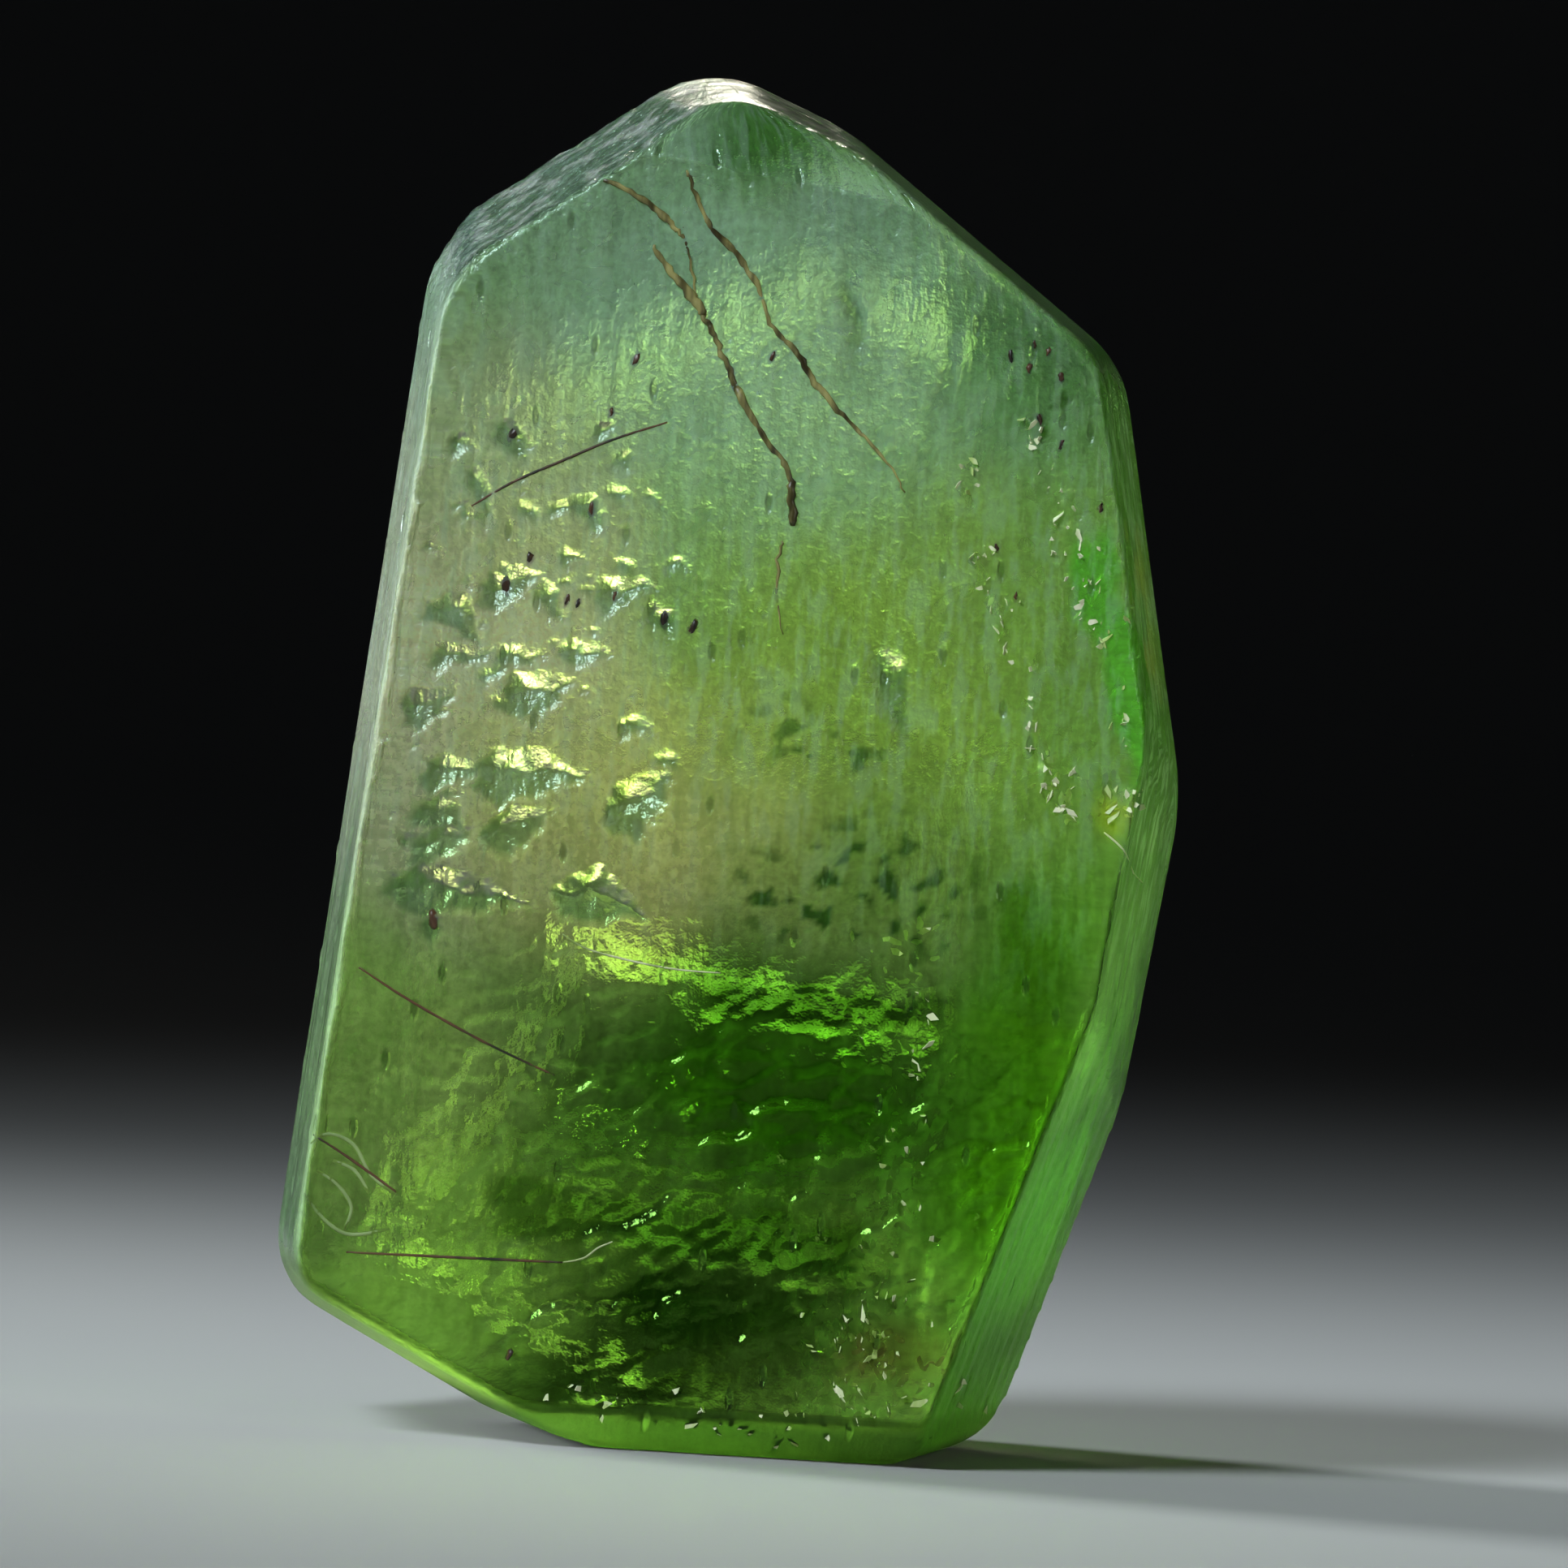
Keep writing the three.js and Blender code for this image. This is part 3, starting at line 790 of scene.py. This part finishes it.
darkHairs = {
    "width": 0.08,
    "depth": 0.0,
    "scale": 500.0,
    "dark": (0.02, 0.02, 0.01),
    "light": (0.14, 0.06, 0.03),
    "roughness": 0.5,
    "lines": {
        "crossing": [(590, 625), (640, 596), (700, 570), (760, 545), (826, 524)],
        "leftFall": [(455, 1180), (520, 1222), (610, 1272), (690, 1310)],
        "lowCurl": [(390, 1375), (430, 1400), (470, 1428), (500, 1450)],
        "level": [(440, 1522), (540, 1527), (640, 1532), (700, 1535)],
    },
}

curledRidges = {
    "width": 0.15,
    "depth": 0.045,
    "scale": 500.0,
    "dark": (0.16, 0.26, 0.07),
    "light": (0.32, 0.44, 0.16),
    "roughness": 0.5,
    "lines": {
        "top": [(392, 1398), (416, 1380), (448, 1392), (470, 1430), (500, 1452)],
        "low": [(384, 1436), (402, 1470), (440, 1500), (492, 1494)],
        "middle": [(404, 1424), (428, 1440), (446, 1468), (436, 1498)],
        "short": [(424, 1412), (450, 1424), (468, 1452)],
    },
}

paleLines = {
    "width": 0.06,
    "depth": 0.0,
    "scale": 500.0,
    "dark": (0.30, 0.40, 0.12),
    "light": (0.72, 0.76, 0.45),
    "roughness": 0.5,
    "lines": {
        "ledgeGlint": [(700, 1140), (730, 1158), (790, 1174), (840, 1183), (890, 1187)],
        "branch": [(700, 1535), (725, 1530), (742, 1518), (760, 1510)],
        "sideCrack": [(1352, 1018), (1376, 1040), (1390, 1070), (1414, 1092)],
    },
}

grains = {
    "seed": 11,
    "depth": 0.04,
    "shape": (0.2, 0.16, 0.45),  # half its size across, deep and along, for a grain 1 long
    "turn": (-12, 28),  # in degrees
    "uneven": 0.00002,  # in m
    "scale": 2400.0,
    "dark": (0.012, 0.01, 0.006),
    "light": (0.10, 0.045, 0.02),
    "roughness": 0.35,
    # pixels, many of them at the mouths of pits, and length
    "places": [
        (632, 722, 0.75), (660, 688, 0.5), (735, 628, 0.6), (788, 448, 0.5), (640, 538, 0.7), (758, 512, 0.4),
        (705, 738, 0.45), (718, 742, 0.4), (762, 735, 0.4), (822, 762, 0.7), (857, 770, 0.6),
        (544, 1122, 0.75), (636, 1645, 0.5), (1275, 520, 0.45), (1300, 552, 0.4), (1222, 675, 0.4),
        (1246, 735, 0.35), (1348, 628, 0.4), (952, 445, 0.4), (1240, 445, 0.5), (1262, 458, 0.45),
        (1285, 440, 0.4), (1300, 470, 0.4), (1268, 430, 0.35),
    ],
}

# glints along healed cracks, and pale crumbs low down
flakes = {
    "seed": 33,
    "size": (0.07, 0.22),
    "reach": (0.6, 1.4),  # half the width and half the length, for a flake of size 1
    "thickness": 0.024,
    "corners": 5,
    "scale": 900.0,
    "dark": (0.45, 0.62, 0.16),
    "light": (0.95, 0.97, 0.66),
    "roughness": 0.25,
    # pixels, how many, how far they stray in pixels, and their depths
    "lines": {
        "chain": (
            [(1190, 570), (1205, 680), (1236, 790), (1262, 880), (1284, 950), (1300, 1000)],
            80, 10, (-0.02, 0.15),
        ),
        "chainHigh": ([(1262, 520), (1296, 600), (1322, 690), (1350, 790)], 50, 12, (-0.02, 0.15)),
        "besideEmerald": ([(1290, 660), (1330, 760), (1360, 850), (1388, 950)], 36, 6, (-0.02, 0.2)),
        "column": (
            [(1108, 1130), (1112, 1300), (1100, 1450), (1075, 1580), (1050, 1720)],
            120, 22, (-0.02, 0.3),
        ),
        "patch": ([(1330, 960), (1400, 1000)], 50, 26, (-0.02, 0.25)),
        "foot": ([(690, 1690), (820, 1720), (950, 1735), (1060, 1700)], 60, 24, (-0.02, 0.2)),
        "stain": ([(1010, 1600), (1090, 1660), (1170, 1720)], 90, 46, (-0.02, 0.3)),
    },
}


def underFront(px, py, depth):
    # a place that far in mm under the sculpted front, or nothing beside it
    x, z = fromPhoto(px, py)
    hit, normal, _, _ = skinTree.ray_cast(growthPoint(x, -50, z), Vector((0, 1, 0)))
    return hit + Vector((0, depth * mm, 0)) if hit and normal.y < -0.4 else None


def alongFront(rows, depth):
    # the points under a line of pixels, and the rows they belong to
    found = [(underFront(row[0], row[1], depth), row) for row in rows]
    found = [pair for pair in found if pair[0]]
    return np.array([place for place, _ in found]), np.array([row for _, row in found])


def smoothPath(points, steps=6):
    # a Catmull-Rom curve through rows of numbers
    rows = np.array([points[0], *points, points[-1]], float)
    out = []
    for p0, p1, p2, p3 in zip(rows, rows[1:], rows[2:], rows[3:]):
        for t in np.linspace(0, 1, steps, endpoint=False):
            bend = (2 * p0 - 5 * p1 + 4 * p2 - p3) * t**2 + (3 * p1 - p0 - 3 * p2 + p3) * t**3
            out.append(0.5 * (2 * p1 + (p2 - p0) * t + bend))
    out.append(rows[-1])
    return np.array(out)


def addTube(bm, path, widths, sides=8, flatness=0.6):
    rings = []
    for i, (point, width) in enumerate(zip(path, widths)):
        ahead = Vector(path[min(i + 1, len(path) - 1)] - path[max(i - 1, 0)]).normalized()
        across = ahead.cross(Vector((0, 1, 0))).normalized()
        deep = across.cross(ahead).normalized()
        ring = []
        for k in range(sides):
            angle = 2 * math.pi * k / sides
            offset = across * math.cos(angle) + deep * math.sin(angle) * flatness
            ring.append(bm.verts.new(Vector(point) + offset * width * mm / 2))
        rings.append(ring)
    for ring, after in zip(rings, rings[1:]):
        for k in range(sides):
            bm.faces.new((ring[k], ring[(k + 1) % sides], after[(k + 1) % sides], after[k]))
    bm.faces.new(rings[0][::-1])
    bm.faces.new(rings[-1])


def makeNeedles():
    rng = np.random.default_rng(needles["seed"])
    bm = bmesh.new()
    for line in needles["lines"].values():
        path, rows = alongFront(smoothPath(line), needles["depth"])
        path += rng.normal(0, needles["uneven"], path.shape)
        addTube(bm, path, rows[:, 2] * rng.uniform(*needles["widthShare"], len(rows)))
    addPiece("needleInclusions", finishMesh(bm, "needles"), mottledMaterial("needleBrown", needles))


def makeThreads(name, threads):
    bm = bmesh.new()
    for line in threads["lines"].values():
        path, rows = alongFront(smoothPath(line), threads["depth"])
        taper = np.sin(np.linspace(0.25, math.pi - 0.25, len(rows)))
        addTube(bm, path, threads["width"] * (0.5 + 0.6 * taper), sides=6, flatness=0.8)
    addPiece(name, finishMesh(bm, name), mottledMaterial(name, threads))


def makeGrains():
    rng = np.random.default_rng(grains["seed"])
    bm = bmesh.new()
    for px, py, length in grains["places"]:
        turn = Matrix.Rotation(math.radians(rng.uniform(*grains["turn"])), 4, "Y")
        size = Matrix.Diagonal([length * share * mm for share in grains["shape"]] + [1])
        at = Matrix.Translation(underFront(px, py, grains["depth"]))
        made = bmesh.ops.create_icosphere(bm, subdivisions=2, radius=1.0, matrix=at @ turn @ size)
        for vert in made["verts"]:
            vert.co += Vector(rng.normal(0, grains["uneven"], 3))
    addPiece("darkGrains", finishMesh(bm, "grains"), mottledMaterial("grainDark", grains))


def addFlake(bm, rng, centre):
    # a thin plate with uneven corners, turned any way round
    size = rng.uniform(*flakes["size"]) * mm
    turn = Euler(rng.normal(0, 0.7, 3) + (0, rng.uniform(0, 6.28), 0)).to_matrix()
    width, length = flakes["reach"]
    corners = flakes["corners"]
    rim = []
    for k in range(corners):
        angle = 2 * math.pi * (k + rng.uniform(-0.3, 0.3)) / corners
        rim.append(turn @ Vector((math.cos(angle) * size * width, 0, math.sin(angle) * size * length)))
    thick = turn @ Vector((0, flakes["thickness"] / 2 * mm, 0))
    front = [bm.verts.new(centre + v - thick) for v in rim]
    back = [bm.verts.new(centre + v + thick) for v in rim]
    bm.faces.new(front)
    bm.faces.new(back[::-1])
    for k in range(corners):
        after = (k + 1) % corners
        bm.faces.new((front[k], front[after], back[after], back[k]))


def makeFlakes():
    rng = np.random.default_rng(flakes["seed"])
    bm = bmesh.new()
    for line, count, stray, depths in flakes["lines"].values():
        rows = smoothPath(line)
        for _ in range(count):
            at = rng.uniform(0, len(rows) - 1)
            start, end = rows[int(at)], rows[min(int(at) + 1, len(rows) - 1)]
            px, py = start + (end - start) * (at % 1) + (rng.normal(0, stray), rng.normal(0, stray * 0.5))
            centre = underFront(px, py, rng.uniform(*depths))
            if centre is not None:
                addFlake(bm, rng, centre)
    mesh = finishMesh(bm, "flakes")
    mesh.polygons.foreach_set("use_smooth", [False] * len(mesh.polygons))
    addPiece("glintFlakes", mesh, mottledMaterial("flakeGlint", flakes))


# the studio, in metres

studio = {
    "floorRadius": 0.9,
    "wallRadius": 1.8,
    "wallHeight": 1.5,
    "floorColour": (0.48, 0.47, 0.45),
    "floorRoughness": 0.9,
    "floorGloss": 0.15,
    "worldColour": (0.008, 0.009, 0.01),
}
# power in W and spread in degrees; "lights" is what a lamp lights besides what it shines through
lamps = {
    "keyBox": {
        "place": (-0.26, -0.30, 0.36),
        "target": (0, 0, 0.022),
        "size": (0.18, 0.18),
        "power": 0.092,
        "spread": 26,
        "colour": (0.80, 0.91, 1.0),
        "lights": ("mirrored", "matt"),
    },
    "fillBox": {
        "place": (0.30, -0.34, 0.14),
        "target": (0, 0, 0.02),
        "size": (0.20, 0.14),
        "power": 0.02,
        "spread": 50,
        "colour": (1.0, 0.97, 0.90),
        "lights": ("mirrored", "matt"),
    },
    "backBox": {
        "place": (0.0, 0.37, 0.205),
        "target": (0, 0, 0.022),
        "size": (0.08, 0.07),
        "power": 0.108,
        "spread": 18,
        "colour": (1.0, 0.93, 0.78),
        "lights": (),
    },
    "leftBox": {
        "place": (-0.36, 0.12, 0.13),
        "target": (0, 0, 0.022),
        "size": (0.08, 0.20),
        "power": 0.19,
        "spread": 45,
        "colour": (0.86, 0.95, 1.0),
        "lights": ("matt",),
    },
}


def makeFloor():
    # a flat disc whose rim curves up all round, so that no edge shows from any side
    floorRadius, wallRadius = studio["floorRadius"], studio["wallRadius"]
    bend = wallRadius - floorRadius
    profile = [(0.0, 0.0), (floorRadius, 0.0)]
    for angle in np.linspace(0, math.pi / 2, 12)[1:]:
        profile.append((floorRadius + bend * math.sin(angle), bend * (1 - math.cos(angle))))
    profile.append((wallRadius, studio["wallHeight"]))
    bm = bmesh.new()
    verts = [bm.verts.new((radius, 0, height)) for radius, height in profile]
    edges = [bm.edges.new(pair) for pair in zip(verts, verts[1:])]
    bmesh.ops.spin(
        bm, geom=verts + edges, axis=(0, 0, 1), cent=(0, 0, 0), angle=2 * math.pi, steps=96, use_merge=True
    )
    bmesh.ops.remove_doubles(bm, verts=bm.verts, dist=1e-5)
    floor = bpy.data.objects.new("studioFloor", finishMesh(bm, "floor"))
    material, _, shader, _ = newMaterial("studioFloor")
    shader.inputs["Base Color"].default_value = (*studio["floorColour"], 1)
    shader.inputs["Roughness"].default_value = studio["floorRoughness"]
    shader.inputs["Specular IOR Level"].default_value = studio["floorGloss"]
    floor.data.materials.append(material)
    bpy.context.scene.collection.objects.link(floor)


def turnTowards(thing, target):
    return (Vector(target) - thing.location).to_track_quat("-Z", "Y")


def makeLamps():
    for name, settings in lamps.items():
        light = bpy.data.lights.new(name, "AREA")
        light.shape = "RECTANGLE"
        light.size, light.size_y = settings["size"]
        light.energy = settings["power"]
        light.spread = math.radians(settings["spread"])
        light.color = settings["colour"]
        lamp = bpy.data.objects.new(name, light)
        lamp.visible_camera = False
        lamp.visible_glossy = "mirrored" in settings["lights"]
        lamp.visible_diffuse = "matt" in settings["lights"]
        lamp.location = settings["place"]
        lamp.rotation_euler = turnTowards(lamp, settings["target"]).to_euler()
        bpy.context.scene.collection.objects.link(lamp)
    world = bpy.data.worlds.new("studio")
    world.use_nodes = True
    world.node_tree.nodes["Background"].inputs["Color"].default_value = (*studio["worldColour"], 1)
    bpy.context.scene.world = world


# the camera: the photograph's level view, its lean and its framing

view = {
    "lens": 300.0,  # as the sensor in mm
    "sensor": 36.0,
    "elevation": 1.0,  # in degrees
    "target": (1.189, 0.5, 20.12),  # what the photograph's middle looks at, in mm from the growth axis
}


def makeCamera():
    data = bpy.data.cameras.new("camera")
    data.lens = view["lens"]
    data.sensor_width = view["sensor"]
    camera = bpy.data.objects.new("camera", data)
    distance = photo["side"] * pixel * mm * view["lens"] / view["sensor"]
    rise = math.radians(view["elevation"])
    target = growthPoint(*view["target"])
    camera.location = target + Vector((0, -math.cos(rise), math.sin(rise))) * distance
    lean = Matrix.Rotation(math.radians(photo["lean"]), 3, "Z")
    camera.rotation_euler = (turnTowards(camera, target).to_matrix() @ lean).to_euler()
    bpy.context.scene.collection.objects.link(camera)
    bpy.context.scene.camera = camera


makeCamera()
makeFloor()
makeLamps()
print("studio ready")
crystal = makeCrystal(crystalMaterial())
print("crystal ready", len(crystal.data.polygons), "faces")
skinTree = BVHTree.FromObject(crystal, bpy.context.evaluated_depsgraph_get())
mottle = makeMottle()
makeNeedles()
print("needles ready")
for name, threads in (("darkHairs", darkHairs), ("curledRidges", curledRidges), ("paleLines", paleLines)):
    makeThreads(name, threads)
print("hairs, ridges and lines ready")
makeGrains()
print("grains ready")
makeFlakes()
print("flakes ready")
bpy.context.scene.cycles.use_denoising = True
bpy.context.scene.view_settings.view_transform = "Standard"
